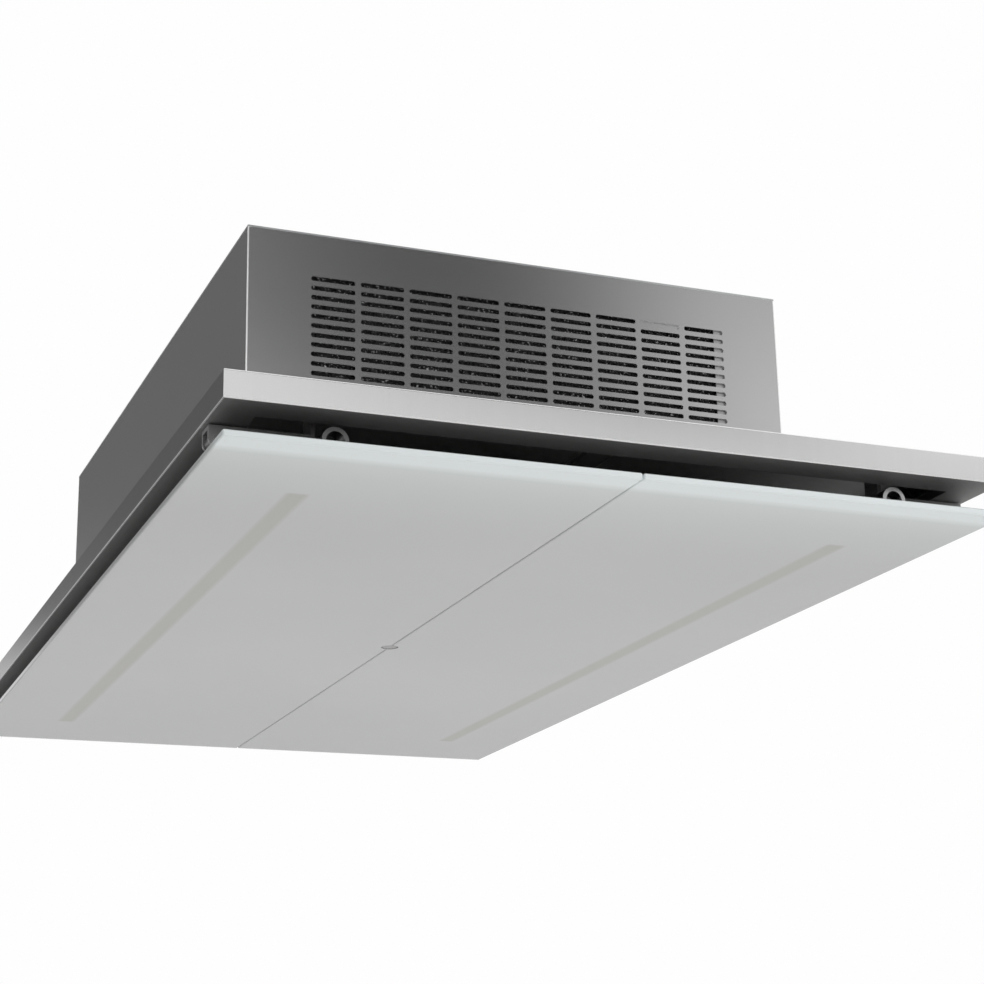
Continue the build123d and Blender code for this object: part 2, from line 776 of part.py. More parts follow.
def scroll_housing():
    """Spiral housing of the blower, with its floor and round inlet; its outlet faces the near end."""
    outlet_y = scroll_outlet_y - blower_y
    place = Pos(blower_x, blower_y, partition_top_z)
    body = extrude(place * volute_outline(0, outlet_y), amount=scroll_height - scroll_wall, dir=(0, 0, 1))
    room = extrude(place * Pos(0, 0, scroll_wall) * volute_outline(scroll_wall, outlet_y - scroll_wall),
                   amount=scroll_height, dir=(0, 0, 1))
    inlet = rod(blower_x, blower_y, partition_top_z - scroll_wall, partition_top_z + 2 * scroll_wall,
                inlet_radius + inlet_ring_wall)
    return body - room - inlet


def scroll_cover():
    """Lid of the scroll, with the opening for the motor's shaft."""
    outlet_y = scroll_outlet_y - blower_y
    place = Pos(blower_x, blower_y, scroll_top_z - scroll_wall)
    lid = extrude(place * volute_outline(0, outlet_y), amount=scroll_wall, dir=(0, 0, 1))
    return lid - rod(blower_x, blower_y, scroll_top_z - 2 * scroll_wall, scroll_top_z + scroll_wall,
                     motor_opening_radius)


def inlet_ring():
    """Ring pressed up into the inlet from below, with a flange under the partition."""
    outer = inlet_radius + inlet_ring_wall
    low = partition_top_z - partition_sheet
    sleeve = rod(blower_x, blower_y, low - inlet_ring_wall, partition_top_z + inlet_ring_height, outer)
    flange = rod(blower_x, blower_y, low - inlet_ring_wall, low, outer + inlet_ring_flange)
    return sleeve + flange - rod(blower_x, blower_y, low - inlet_ring_height,
                                 partition_top_z + 2 * inlet_ring_height, inlet_radius)


def impeller():
    """Drum impeller with forward-curved blades between a top plate and a bottom ring."""
    top = scroll_top_z - scroll_wall - impeller_gap
    low = partition_top_z + inlet_ring_height + impeller_gap / 2
    middle = (impeller_radius + impeller_inner_radius) / 2
    chord = (impeller_radius - impeller_inner_radius) / math.sin(math.radians(blade_angle))
    place = Pos(blower_x, blower_y, low)
    blades = Sketch() + [spot * Rot(0, 0, blade_angle) * Rectangle(blade_thickness, chord)
                         for spot in PolarLocations(middle, impeller_blades)]
    drum = extrude(place * blades, amount=top - low, dir=(0, 0, 1))
    ring = rod(blower_x, blower_y, low, low + impeller_ring, impeller_radius + blade_thickness)
    ring -= rod(blower_x, blower_y, low - impeller_ring, low + 2 * impeller_ring,
                impeller_inner_radius + impeller_ring)
    plate = rod(blower_x, blower_y, top - impeller_plate, top, impeller_radius + blade_thickness)
    hub = rod(blower_x, blower_y, top - impeller_hub_length, top, impeller_hub_radius)
    drum = drum + ring + plate + hub
    return drum - rod(blower_x, blower_y, low, top + impeller_gap, shaft_radius)


def motor_shaft():
    """Shaft from the impeller's hub up into the motor."""
    low = scroll_top_z - scroll_wall - impeller_gap - impeller_hub_length
    high = scroll_top_z + mount_height + bearing_width + motor_lug_height
    return rod(blower_x, blower_y, low, high, shaft_radius)


def motor_mount_places():
    """Centres of the motor's four rubber mounts."""
    return [Pos(blower_x, blower_y, 0) * spot for spot in PolarLocations(motor_lug_circle, 4, start_angle=45)]


def motor_body():
    """Flat motor on the scroll's lid, with four lugs and a seat for its bearing."""
    low = scroll_top_z + mount_height
    can = rod(blower_x, blower_y, low, low + motor_height, motor_radius)
    can = fillet(can.edges().group_by(Axis.Z)[-1], motor_round)
    for place in motor_mount_places():
        can += place * Pos(0, 0, low + motor_lug_height / 2) * Cylinder(motor_lug_radius, motor_lug_height)
    can -= rod(blower_x, blower_y, low - mount_height, low + bearing_width, bearing_outer_radius)
    return can - rod(blower_x, blower_y, low, low + bearing_width + 2 * motor_lug_height,
                     shaft_radius + shaft_running_gap)


def motor_bearing():
    """Bearing ring between the motor and its shaft."""
    low = scroll_top_z + mount_height
    ring = rod(blower_x, blower_y, low, low + bearing_width, bearing_outer_radius - bearing_fit)
    return ring - rod(blower_x, blower_y, low - bearing_width, low + 2 * bearing_width,
                      shaft_radius + shaft_running_gap)


def motor_mounts():
    """Four rubber mounts between the motor's lugs and the scroll's lid."""
    level = scroll_top_z + mount_height / 2
    return [place * Pos(0, 0, level) * Cylinder(mount_radius, mount_height) for place in motor_mount_places()]


# ---------------------------------------------------------------- charcoal cassettes
def charcoal_frame():
    """Near cassette's frame, standing on the partition behind the slots."""
    frame = block(media_left - cassette_frame, media_right + cassette_frame,
                  cassette_front_y, cassette_back_y, partition_top_z, cassette_top_z)
    return frame - block(media_left, media_right, cassette_front_y - cassette_frame,
                         cassette_back_y + cassette_frame, media_bottom_z, media_top_z)


def charcoal_media():
    """Near cassette's slab of charcoal granules."""
    return block(media_left, media_right, cassette_front_y, cassette_back_y, media_bottom_z, media_top_z)


def cassette_channel(side, edge_x):
    """Bright steel channel that holds one upright edge of the near cassette."""
    outer_x = edge_x + side * (cassette_frame + channel_gap)
    front = cassette_front_y - channel_gap
    back = cassette_back_y + channel_gap
    web = block(outer_x, outer_x + side * channel_sheet, front - channel_sheet, back + channel_sheet,
                partition_top_z, cassette_top_z)
    front_leg = block(edge_x, outer_x, front - channel_sheet, front, partition_top_z, cassette_top_z)
    back_leg = block(edge_x, outer_x, back, back + channel_sheet, partition_top_z, cassette_top_z)
    return web + front_leg + back_leg


def retaining_clip():
    """Sprung tab that hangs from the near wall's top fold, behind one slot of the first row."""
    wall = -housing_y + housing_sheet
    low = -slot_first_row_drop - clip_below_row
    top = wall_top_z - housing_sheet
    x = clip_column * slot_pitch_x
    return block(x - clip_width / 2, x + clip_width / 2, wall, wall + channel_sheet, low, top)


# ---------------------------------------------------------------- control electronics
def control_box():
    """Open-topped plastic box for the control board."""
    box = centred(0, control_y, control_length, control_depth,
                  partition_top_z, partition_top_z + control_height)
    return box - centred(0, control_y, control_length - 2 * control_wall, control_depth - 2 * control_wall,
                         partition_top_z + control_wall, partition_top_z + 2 * control_height)


def control_lid():
    """Lid of the control box, with a lip that drops inside it."""
    low = partition_top_z + control_height
    plate = centred(0, control_y, control_length, control_depth, low, low + control_wall)
    outer = control_wall + control_lid_gap
    inner = outer + control_wall
    lip = centred(0, control_y, control_length - 2 * outer, control_depth - 2 * outer,
                  low - control_lid_lip, low)
    lip -= centred(0, control_y, control_length - 2 * inner, control_depth - 2 * inner,
                   low - control_lid_lip, low)
    return plate + lip


def control_board():
    """Circuit board on four posts, with its transformer, relays and connector."""
    inset = control_wall + board_gap
    low = partition_top_z + control_wall + board_standoff
    high = low + board_thickness
    half_x = control_length / 2 - inset
    half_y = control_depth / 2 - inset
    board = centred(0, control_y, 2 * half_x, 2 * half_y, low, high)
    for place in GridLocations(2 * (half_x - board_standoff), 2 * (half_y - board_standoff), 2, 2):
        post = Pos(0, control_y, low - board_standoff / 2) * Cylinder(board_standoff / 2, board_standoff)
        board += place * post
    board += centred(transformer_x, control_y, transformer_length, transformer_width,
                     high, high + transformer_height)
    for k in range(relay_count):
        board += centred(relay_x + relay_pitch * k, control_y, relay_length, relay_width,
                         high, high + relay_height)
    board += centred(connector_x, control_y, connector_length, connector_width, high, high + connector_height)
    return board


def led_driver():
    """Sealed power supply for the lights, standing on the partition beside the terminal block."""
    x = cable_x - terminal_length / 2 - driver_terminal_gap - driver_length / 2
    case = centred(x, cable_y, driver_length, driver_width, partition_top_z, partition_top_z + driver_height)
    return fillet(case.edges().filter_by(Axis.Z), control_wall)


def terminal_block():
    """Mains terminal block under the cable inlet, with a row of screw wells."""
    body = centred(cable_x, cable_y, terminal_length, terminal_width,
                   partition_top_z, partition_top_z + terminal_height)
    pitch = terminal_length / (terminal_ways + 1)
    for k in range(terminal_ways):
        x = cable_x + (k - (terminal_ways - 1) / 2) * pitch
        top = partition_top_z + terminal_height
        body -= rod(x, cable_y, top - terminal_height / 2, top + terminal_height, terminal_screw_radius)
    return body


# ---------------------------------------------------------------- the assembly
def save_housing():
    """Writes the housing's walls, its top and the cable grommet."""
    right = side_panel()
    near = vent_panel()
    save("top_plate", top_plate())
    save("side_panel_right", right)
    save("side_panel_left", across(right))
    save("vent_panel_near", near)
    save("vent_panel_far", turned(near))
    save("cable_grommet", cable_grommet())


def save_tray():
    """Writes the rim, the tray and what is fixed under it."""
    save("rim_frame", *rim_members())
    save("deck_plate", deck_plate())
    save("deck_screws", *deck_screws())
    save("centre_rail", centre_rail())
    ledge = filter_ledge()
    save("filter_ledges", ledge, across(ledge))
    save("latch_keeper", latch_keeper())
    bracket = catch_bracket()
    save("catch_brackets", bracket, other_end(bracket))
    magnet = catch_magnet()
    near_pair = [magnet, across(magnet)]
    save("catch_magnets", *near_pair, *[other_end(one) for one in near_pair])
    save("receiver_body", receiver_body())
    save("receiver_lens", receiver_lens())


def save_filters():
    """Writes both grease filters with their latches and springs."""
    for name, piece in (("filter_frame", filter_frame()), ("filter_mesh", filter_mesh()),
                        ("filter_latch", filter_latch()), ("latch_spring", latch_spring())):
        save(name + "_right", piece)
        save(name + "_left", across(piece))


def save_panels():
    """Writes both glass panels, their lights and fittings, and the hinges that carry them."""
    single = (("glass_panel", glass_panel()), ("light_channel", light_channel()),
              ("light_board", light_board()), ("light_diffuser", light_diffuser()))
    for name, piece in single:
        save(name + "_right", piece)
        save(name + "_left", across(piece))
    paired = (("strike_plates", strike_plate()), ("corner_buffers", corner_buffer()),
              ("hinge_leaves", hinge_leaf()))
    for name, piece in paired:
        save(name + "_right", piece, other_end(piece))
        save(name + "_left", across(piece), across(other_end(piece)))
    for name, piece in (("hinge_brackets", hinge_bracket()), ("hinge_pins", hinge_pin())):
        pair = [piece, other_end(piece)]
        save(name, *pair, *[across(one) for one in pair])


def save_blower():
    """Writes the partition, the blower and its motor."""
    save("partition_tray", partition_tray())
    save("inlet_ring", inlet_ring())
    save("scroll_housing", scroll_housing())
    save("scroll_cover", scroll_cover())
    save("impeller", impeller())
    save("motor_shaft", motor_shaft())
    save("motor_body", motor_body())
    save("motor_bearing", motor_bearing())
    save("motor_mounts", *motor_mounts())


def save_cassettes():
    """Writes both charcoal cassettes and what holds them."""
    frame = charcoal_frame()
    media = charcoal_media()
    save("charcoal_frame_near", frame)
    save("charcoal_frame_far", turned(frame))
    save("charcoal_media_near", media)
    save("charcoal_media_far", turned(media))
    near = [cassette_channel(-1, media_left), cassette_channel(1, media_right)]
    save("cassette_channels", *near, *[turned(one) for one in near])
    clip = retaining_clip()
    save("retaining_clips", clip, turned(clip))


def save_electronics():
    """Writes the control box and the mains and light supplies."""
    save("control_box", control_box())
    save("control_lid", control_lid())
    save("control_board", control_board())
    save("led_driver", led_driver())
    save("terminal_block", terminal_block())


os.makedirs("parts", exist_ok=True)
save_housing()
save_tray()
save_filters()
save_panels()
save_blower()
save_cassettes()
save_electronics()
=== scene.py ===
import math
from collections import namedtuple

import bmesh
import bpy
import numpy as np
from mathutils import Matrix, Vector


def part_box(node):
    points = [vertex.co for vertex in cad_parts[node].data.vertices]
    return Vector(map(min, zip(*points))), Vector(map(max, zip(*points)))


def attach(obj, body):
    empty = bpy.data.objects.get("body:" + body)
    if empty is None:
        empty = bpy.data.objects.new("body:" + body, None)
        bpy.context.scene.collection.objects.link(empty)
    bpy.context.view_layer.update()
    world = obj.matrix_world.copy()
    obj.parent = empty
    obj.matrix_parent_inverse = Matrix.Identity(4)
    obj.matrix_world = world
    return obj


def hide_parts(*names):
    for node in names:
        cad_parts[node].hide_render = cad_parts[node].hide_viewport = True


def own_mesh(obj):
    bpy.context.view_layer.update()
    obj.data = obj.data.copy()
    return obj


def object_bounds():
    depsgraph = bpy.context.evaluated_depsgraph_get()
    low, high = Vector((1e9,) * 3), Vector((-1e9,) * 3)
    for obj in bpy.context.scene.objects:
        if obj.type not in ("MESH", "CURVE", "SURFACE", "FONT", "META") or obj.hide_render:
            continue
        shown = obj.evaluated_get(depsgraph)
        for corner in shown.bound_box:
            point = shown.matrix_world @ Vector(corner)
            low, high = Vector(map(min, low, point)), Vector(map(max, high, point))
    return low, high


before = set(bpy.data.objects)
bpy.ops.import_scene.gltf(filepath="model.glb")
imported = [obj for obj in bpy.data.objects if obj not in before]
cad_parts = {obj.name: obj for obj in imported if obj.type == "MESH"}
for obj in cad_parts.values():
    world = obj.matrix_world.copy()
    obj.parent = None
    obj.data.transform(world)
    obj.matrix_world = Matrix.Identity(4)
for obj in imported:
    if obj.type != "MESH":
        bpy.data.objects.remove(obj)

cad_low, cad_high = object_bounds()

MM = 0.001
SIDES = ("left", "right")
ENDS = ("near", "far")

# ---------------------------------------------------------------- camera, fitted to the photograph
PHOTO_SIDE = 984.0  # pixels
PHOTO_FOCAL = 2065.1  # pixels
SENSOR_SIDE = 36.0  # millimetres
CAMERA_PLACE = Vector((-0.51064, -1.47264, -0.56416))
CAMERA_HEADING = -0.386  # radians, as the next two
CAMERA_TILT = 0.301
CAMERA_ROLL = -0.021
CAMERA_REACH = 100

# ---------------------------------------------------------------- stage and light
FLOOR_DROP = 1.1
FLOOR_SIDE = 30.0
FLOOR_GREYS = ((0.78, 0.78, 0.77), (0.82, 0.82, 0.81))

WORLD_GREY = 0.80
WORLD_STRENGTH = 0.55
BACKGROUND_WHITE = 0.99

# ---------------------------------------------------------------- visible detail, metres
GRANULE_SEED = 7
GRANULE_PITCH = 2.6 * MM
GRANULE_SHIFT = 0.35  # at most, of the pitch
GRANULE_RADIUS = 1.5 * MM
GRANULE_DEPTHS = (1.15, 2.2)  # of the radius, behind the bed's front, as the next
GRANULE_LAYER = 2.0
GRANULE_STRETCH = (0.7, 1.1)  # of the radius, for each of a granule's axes
GRANULE_LUMPS = (0.8, 1.1)  # of the radius, for each of a granule's corners

MESH_CELL_LONG = 12.0 * MM
MESH_CELL_SHORT = 6.0 * MM
MESH_STRAND = 1.0 * MM
MESH_LAYERS = 2

# Painted light along the glass's near end: a brighter border strip and a paler fade beyond it
BORDER_WIDTH = 19.0 * MM
BORDER_BLUR_INWARD = 6 * MM
BORDER_BLUR_OUTWARD = 4 * MM
NEAR_LIGHT_WIDTH = 190.0 * MM
NEAR_LIGHT_POWER = 3.0
WINDOW_BLUR = 2.0 * MM
# Depths below the glass's top face where its painted shade starts and where it is full
BACK_SHADE_DEEP = 0.3 * MM
BACK_SHADE_FULL = 0.1 * MM

HOUSING_EDGE = 0.9 * MM
HOUSING_EDGE_STRIP = 3.0 * MM
SLOT_WALL_DEPTH = 0.2 * MM

# ---------------------------------------------------------------- numbers shared by the materials
NOISE_LOW, NOISE_HIGH = 0.3, 0.7  # nearly all of a noise lies between them
BEVEL_SAMPLES = 6
FLAT_DOT, EDGE_DOT = 0.995, 0.90  # rounded normal times the true one, on a face and on an edge
BEND_SPAN = 0.015
STEP_BLUR = 0.1 * MM

LINES_ALONG_X = (8, 900, 900)
LINES_ALONG_Y = (900, 8, 900)
LINES_ALONG_Z = (600, 600, 8)
SHEET_CLOUDS = (7, 7, 7)

SHELL_GREY = 0.50
# Share of brightness painted on the housing's corner edges and slot walls, a painted highlight
PAINTED_EDGE_LIGHT = 1.9
SATIN_SHEEN = 0.26
# Colour of brushed steel's paler edges: bare worn metal and a painted edge highlight
BARE_EDGE_HIGHLIGHT = (0.93, 0.93, 0.92)
ZINC = (0.60, 0.61, 0.62)
ZINC_SHEEN = 0.33
ZINC_GRAIN = 700.0

GLASS_PAINTS = ((0.532, 0.533, 0.541), (0.567, 0.568, 0.575))
# Painted light: the glass is paler toward its near end, with a brighter border strip there
GLASS_NEAR_LIGHT = (0.665, 0.70, 0.695)
GLASS_BORDER_LIGHT = (0.81, 0.86, 0.868)
GLASS_WINDOW = (0.467, 0.467, 0.444)
# Painted shade: the glass's back face, inside the hood, is dark grey
GLASS_BACK_SHADE = (0.28, 0.28, 0.28)
GROUND_EDGE = (0.38, 0.40, 0.395)
# Painted light: the glass's edge faces are paler along its near end
GROUND_NEAR_EDGE_LIGHT = (0.78, 0.84, 0.83)


def grey(level):
    return (level, level, level)


def toned(colour, factor):
    return tuple(min(1.0, part * factor) for part in colour)


# ---------------------------------------------------------------- material helpers
class Nodes:
    """A new node material with its Principled shader, and short ways to add and join nodes."""

    def __init__(self, name):
        self.material = bpy.data.materials.new(name)
        self.material.use_nodes = True
        self.tree = self.material.node_tree
        self.shader = self.tree.nodes["Principled BSDF"]

    def add(self, kind, **values):
        node = self.tree.nodes.new("ShaderNode" + kind)
        for key, value in values.items():
            setattr(node, key, value)
        return node

    def join(self, output, target):
        self.tree.links.new(output, target)

    def surface(self, **values):
        """Sets plain values on the shader's own sockets, named with underscores for spaces."""
        for key, value in values.items():
            self.shader.inputs[key.replace("_", " ")].default_value = value

    def colour(self, output):
        self.join(output, self.shader.inputs["Base Color"])

    def roughness(self, output):
        self.join(output, self.shader.inputs["Roughness"])

    def place(self, scale=(1, 1, 1)):
        """Object coordinates, stretched by scale."""
        coordinates = self.add("TexCoord")
        mapping = self.add("Mapping")
        mapping.inputs["Scale"].default_value = scale
        self.join(coordinates.outputs["Object"], mapping.inputs["Vector"])
        return mapping.outputs["Vector"]

    def axes(self, vector):
        """The X, Y and Z of a vector."""
        parts = self.add("SeparateXYZ")
        self.join(vector, parts.inputs["Vector"])
        return parts.outputs

    def facing(self):
        """The X, Y and Z of the surface's own direction."""
        return self.axes(self.add("NewGeometry").outputs["Normal"])

    def noise(self, vector, scale, detail=3.0):
        node = self.add("TexNoise")
        node.inputs["Scale"].default_value = scale
        node.inputs["Detail"].default_value = detail
        node.inputs["Roughness"].default_value = 0.5
        self.join(vector, node.inputs["Vector"])
        return node.outputs["Fac"]

    def ramp(self, value, low, high, start=0.0, end=1.0):
        """Value mapped from low..high to start..end, and held at them beyond."""
        node = self.add("MapRange")
        node.inputs["From Min"].default_value = low
        node.inputs["From Max"].default_value = high
        node.inputs["To Min"].default_value = start
        node.inputs["To Max"].default_value = end
        self.join(value, node.inputs["Value"])
        return node.outputs["Result"]

    def spread(self, noise, start=0.0, end=1.0):
        """A noise mapped to start..end."""
        return self.ramp(noise, NOISE_LOW, NOISE_HIGH, start, end)

    def about(self, noise, middle, share):
        """A value that follows a noise from middle less that share of it to middle plus it."""
        return self.spread(noise, middle * (1 - share), middle * (1 + share))

    def mix(self, share, first, second):
        """Colour between two, each a colour or another node's output."""
        node = self.add("Mix", data_type="RGBA")
        self.join(share, node.inputs["Factor"])
        for value, socket in ((first, node.inputs["A"]), (second, node.inputs["B"])):
            if isinstance(value, tuple):
                socket.default_value = (*value, 1.0)
            else:
                self.join(value, socket)
        return node.outputs["Result"]

    def calculate(self, operation, first, second=0.0):
        """A Math node's result, from numbers or other nodes' outputs."""
        node = self.add("Math", operation=operation)
        for value, socket in ((first, node.inputs[0]), (second, node.inputs[1])):
            if isinstance(value, (int, float)):
                socket.default_value = value
            else:
                self.join(value, socket)
        return node.outputs["Value"]

    def scaled(self, colour, factor):
        """A colour times another node's output."""
        node = self.add("VectorMath", operation="SCALE")
        node.inputs[0].default_value = colour
        self.join(factor, node.inputs["Scale"])
        return node.outputs["Vector"]

    def on_bends(self, limit):
        """1 where a folded sheet turns from one face to the next, 0 on its flat faces."""
        parts = self.facing()
        largest = self.calculate("ABSOLUTE", parts["X"])
        for axis in "YZ":
            largest = self.calculate("MAXIMUM", largest, self.calculate("ABSOLUTE", parts[axis]))
        return self.ramp(largest, limit, limit - BEND_SPAN)

    def facing_sideways(self, start, end):
        """1 on faces that look along X, 0 on the rest, over the given span of that share."""
        return self.ramp(self.calculate("ABSOLUTE", self.facing()["X"]), start, end)

    def looking_down(self, limit):
        """1 on faces that look down, 0 on those that turn from it further than the limit."""
        return self.ramp(self.facing()["Z"], -limit, -1.0)

    def beyond(self, axis, distance):
        """1 further than a distance from the middle along an axis, either way, and 0 nearer."""
        away = self.calculate("ABSOLUTE", self.axes(self.place())[axis])
        return self.ramp(away, distance - STEP_BLUR, distance + STEP_BLUR)

    def within(self, axis, distance):
        """1 nearer than a distance to the middle along an axis, and 0 further out."""
        return self.calculate("SUBTRACT", 1.0, self.beyond(axis, distance))

    def rounded_normal(self, radius):
        """The surface's direction as if its edges were rounded."""
        bevel = self.add("Bevel", samples=BEVEL_SAMPLES)
        bevel.inputs["Radius"].default_value = radius
        return bevel.outputs["Normal"]

    def edge_wear(self, radius, strength):
        """Up to strength on sharp edges, and 0 on flat faces."""
        dot = self.add("VectorMath", operation="DOT_PRODUCT")
        self.join(self.rounded_normal(radius), dot.inputs[0])
        self.join(self.add("NewGeometry").outputs["Normal"], dot.inputs[1])
        edge = self.ramp(dot.outputs["Value"], FLAT_DOT, EDGE_DOT)
        return self.calculate("MULTIPLY", edge, strength)

    def bump(self, height, strength, distance, edge_round=0.0, rounded_past=0.0):
        """Fine relief. Edges further than rounded_past from the middle in X look rounded."""
        node = self.add("Bump")
        node.inputs["Strength"].default_value = strength
        node.inputs["Distance"].default_value = distance
        self.join(height, node.inputs["Height"])
        if edge_round:
            blend = self.add("Mix", data_type="VECTOR")
            self.join(self.beyond("X", rounded_past), blend.inputs["Factor"])
            self.join(self.add("NewGeometry").outputs["Normal"], blend.inputs["A"])
            self.join(self.rounded_normal(edge_round), blend.inputs["B"])
            self.join(blend.outputs["Result"], node.inputs["Normal"])
        self.join(node.outputs["Normal"], self.shader.inputs["Normal"])


# Where the mask that is named and given these arguments is 1, a sheet has that share of its
# brightness, which is painted light or shade, and that roughness.
PaintedLightZone = namedtuple("PaintedLightZone", "mask arguments brightness roughness")


def brushed_steel(name, colour, roughness, stretch, contrast=0.005, edge_paling=0.35, edge_round=0.0,
                  rounded_past=0.0, zones=()):
    """Brushed sheet: fine lines along the axis that stretch keeps small, and paler edges that are
    partly bare worn metal and partly a painted edge highlight.
    """
    make = Nodes(name)
    make.surface(Metallic=1.0)
    lines = make.noise(make.place(stretch), 1.0, detail=2.0)
    cloud = make.noise(make.place(SHEET_CLOUDS), 1.0)
    shade = make.calculate("MULTIPLY", make.about(lines, 1.0, contrast),
                           make.about(cloud, 1.0, 0.015))
    rough = make.about(lines, roughness, 0.015)
    # The zones' painted light and shade scale the colour
    for zone in zones:
        share = getattr(make, zone.mask)(*zone.arguments)
        shade = make.calculate("MULTIPLY", shade, make.ramp(share, 0.0, 1.0, 1.0, zone.brightness))
        change = make.ramp(share, 0.0, 1.0, 0.0, zone.roughness - roughness)
        rough = make.calculate("ADD", rough, change)
    # Pale edges: partly bare worn metal, partly a painted edge highlight
    make.colour(make.mix(make.edge_wear(0.6 * MM, edge_paling), make.scaled(colour, shade), BARE_EDGE_HIGHLIGHT))
    make.roughness(rough)
    make.bump(lines, strength=0.002, distance=0.05 * MM, edge_round=edge_round,
              rounded_past=rounded_past)
    return make.material


def coated_metal(name, colour, roughness, metallic=0.0, grain=900.0, depth=0.03 * MM, edge_paling=0.25,
                 worn=grey(0.6)):
    """Painted, plated or cast metal: a fine skin with a soft cloudiness and paler edges."""
    make = Nodes(name)
    make.surface(Metallic=metallic)
    skin = make.noise(make.place(), grain, detail=2.0)
    cloud = make.noise(make.place(), 14.0, detail=5.0)
    base = make.mix(make.spread(cloud), toned(colour, 0.90), toned(colour, 1.10))
    make.colour(make.mix(make.edge_wear(0.4 * MM, edge_paling), base, worn))
    make.roughness(make.about(skin, roughness, 0.15))
    make.bump(skin, strength=0.15, distance=depth)
    return make.material


def zinc_plate(name):
    return coated_metal(name, ZINC, ZINC_SHEEN, metallic=1.0, grain=ZINC_GRAIN)


def moulded(name, colour, roughness):
    """Moulded plastic or rubber with a spark-eroded grain."""
    worn = tuple(min(1.0, part * 2.0 + 0.03) for part in colour)
    return coated_metal(name, colour, roughness, grain=1400.0, depth=0.05 * MM, edge_paling=0.12,
                        worn=worn)


def galvanised(name, colour):
    """Zinc-coated sheet with its faint crystal pattern."""
    make = Nodes(name)
    make.surface(Metallic=1.0)
    crystals = make.add("TexVoronoi")
    crystals.inputs["Scale"].default_value = 90.0
    make.join(make.place(), crystals.inputs["Vector"])
    tint = make.add("SeparateColor")
    make.join(crystals.outputs["Color"], tint.inputs["Color"])
    make.colour(make.mix(tint.outputs["Red"], toned(colour, 0.95), toned(colour, 1.03)))
    make.roughness(make.ramp(tint.outputs["Green"], 0, 1, 0.41, 0.45))
    make.bump(make.noise(make.place(), 400.0), strength=0.02, distance=0.02 * MM)
    return make.material


def panel_glass(name, window_x):
    """White back-painted glass with a clear window over the light. Painted light makes it paler
    toward its near end, with a brighter border strip there, and painted shade darkens its back
    face.
    """
    make = Nodes(name)
    make.surface(Roughness=0.09, IOR=1.5, Specular_IOR_Level=0.5)
    place = make.axes(make.place())
    across = make.calculate("ABSOLUTE", make.calculate("SUBTRACT", place["X"], window_x))
    along = make.calculate("ABSOLUTE", place["Y"])
    diffuser_low, diffuser_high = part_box("light_diffuser_right")
    half_width = (diffuser_high.x - diffuser_low.x) / 2
    half_length = (diffuser_high.y - diffuser_low.y) / 2
    in_width = make.ramp(across, half_width + WINDOW_BLUR, half_width - WINDOW_BLUR)
    in_length = make.ramp(along, half_length + WINDOW_BLUR, half_length - WINDOW_BLUR)
    window = make.calculate("MULTIPLY", in_width, in_length)
    cloud = make.noise(make.place(), 3.0, detail=4.0)
    paint = make.mix(make.spread(cloud), *GLASS_PAINTS)
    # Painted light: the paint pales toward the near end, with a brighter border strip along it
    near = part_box("glass_panel_right")[0].y
    near_light = make.ramp(place["Y"], near + NEAR_LIGHT_WIDTH, near + BORDER_WIDTH)
    paint = make.mix(make.calculate("POWER", near_light, NEAR_LIGHT_POWER), paint, GLASS_NEAR_LIGHT)
    border_light = make.ramp(place["Y"], near + BORDER_WIDTH + BORDER_BLUR_INWARD,
                       near + BORDER_WIDTH - BORDER_BLUR_OUTWARD)
    paint = make.mix(border_light, paint, GLASS_BORDER_LIGHT)
    panel = make.mix(window, paint, GLASS_WINDOW)
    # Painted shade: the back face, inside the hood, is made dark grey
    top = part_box("glass_panel_right")[1].z
    back = make.ramp(place["Z"], top - BACK_SHADE_DEEP, top - BACK_SHADE_FULL)
    panel = make.mix(back, panel, GLASS_BACK_SHADE)
    # Painted light: the edge faces are paler along the near end too
    ground = make.mix(border_light, GROUND_EDGE, GROUND_NEAR_EDGE_LIGHT)
    make.colour(make.mix(make.edge_wear(1.2 * MM, 0.5), panel, ground))
    make.bump(make.noise(make.place(), 5.0, detail=1.0), strength=0.02, distance=0.5 * MM)
    return make.material


def charcoal_material(name):
    """Charcoal granules: near black, with a few small pale flecks."""
    make = Nodes(name)
    make.surface(Roughness=0.55)
    flecks = make.ramp(make.noise(make.place(), 520.0, detail=1.0), 0.64, 0.70)
    cloud = make.noise(make.place(), 260.0, detail=2.0)
    base = make.mix(make.ramp(cloud, 0.35, 0.7), (0.018, 0.018, 0.019), (0.075, 0.075, 0.077))
    make.colour(make.mix(flecks, base, grey(0.80)))
    make.bump(cloud, strength=0.4, distance=0.3 * MM)
    return make.material


def circuit_board(name):
    """Green lacquered board with the faint lines of its copper."""
    make = Nodes(name)
    make.surface(Roughness=0.35, Coat_Weight=0.4)
    tracks = make.add("TexBrick")
    tracks.inputs["Scale"].default_value = 60.0
    make.join(make.place(), tracks.inputs["Vector"])
    make.colour(make.mix(tracks.outputs["Fac"], (0.012, 0.11, 0.05), (0.03, 0.20, 0.09)))
    make.bump(tracks.outputs["Fac"], strength=0.2, distance=0.03 * MM)
    return make.material


def opal_plastic(name):
    """Milky diffuser."""
    make = Nodes(name)
    make.surface(Roughness=0.4, Subsurface_Weight=0.3, Subsurface_Scale=2 * MM)
    make.colour(make.mix(make.noise(make.place(), 60.0), (0.72, 0.71, 0.66), (0.80, 0.79, 0.74)))
    make.bump(make.noise(make.place(), 1200.0), strength=0.1, distance=0.02 * MM)
    return make.material


def floor_material(name):
    """Plain pale floor that takes the object's shadow."""
    make = Nodes(name)
    make.colour(make.mix(make.noise(make.place(), 0.7), *FLOOR_GREYS))
    make.surface(Roughness=0.9)
    return make.material


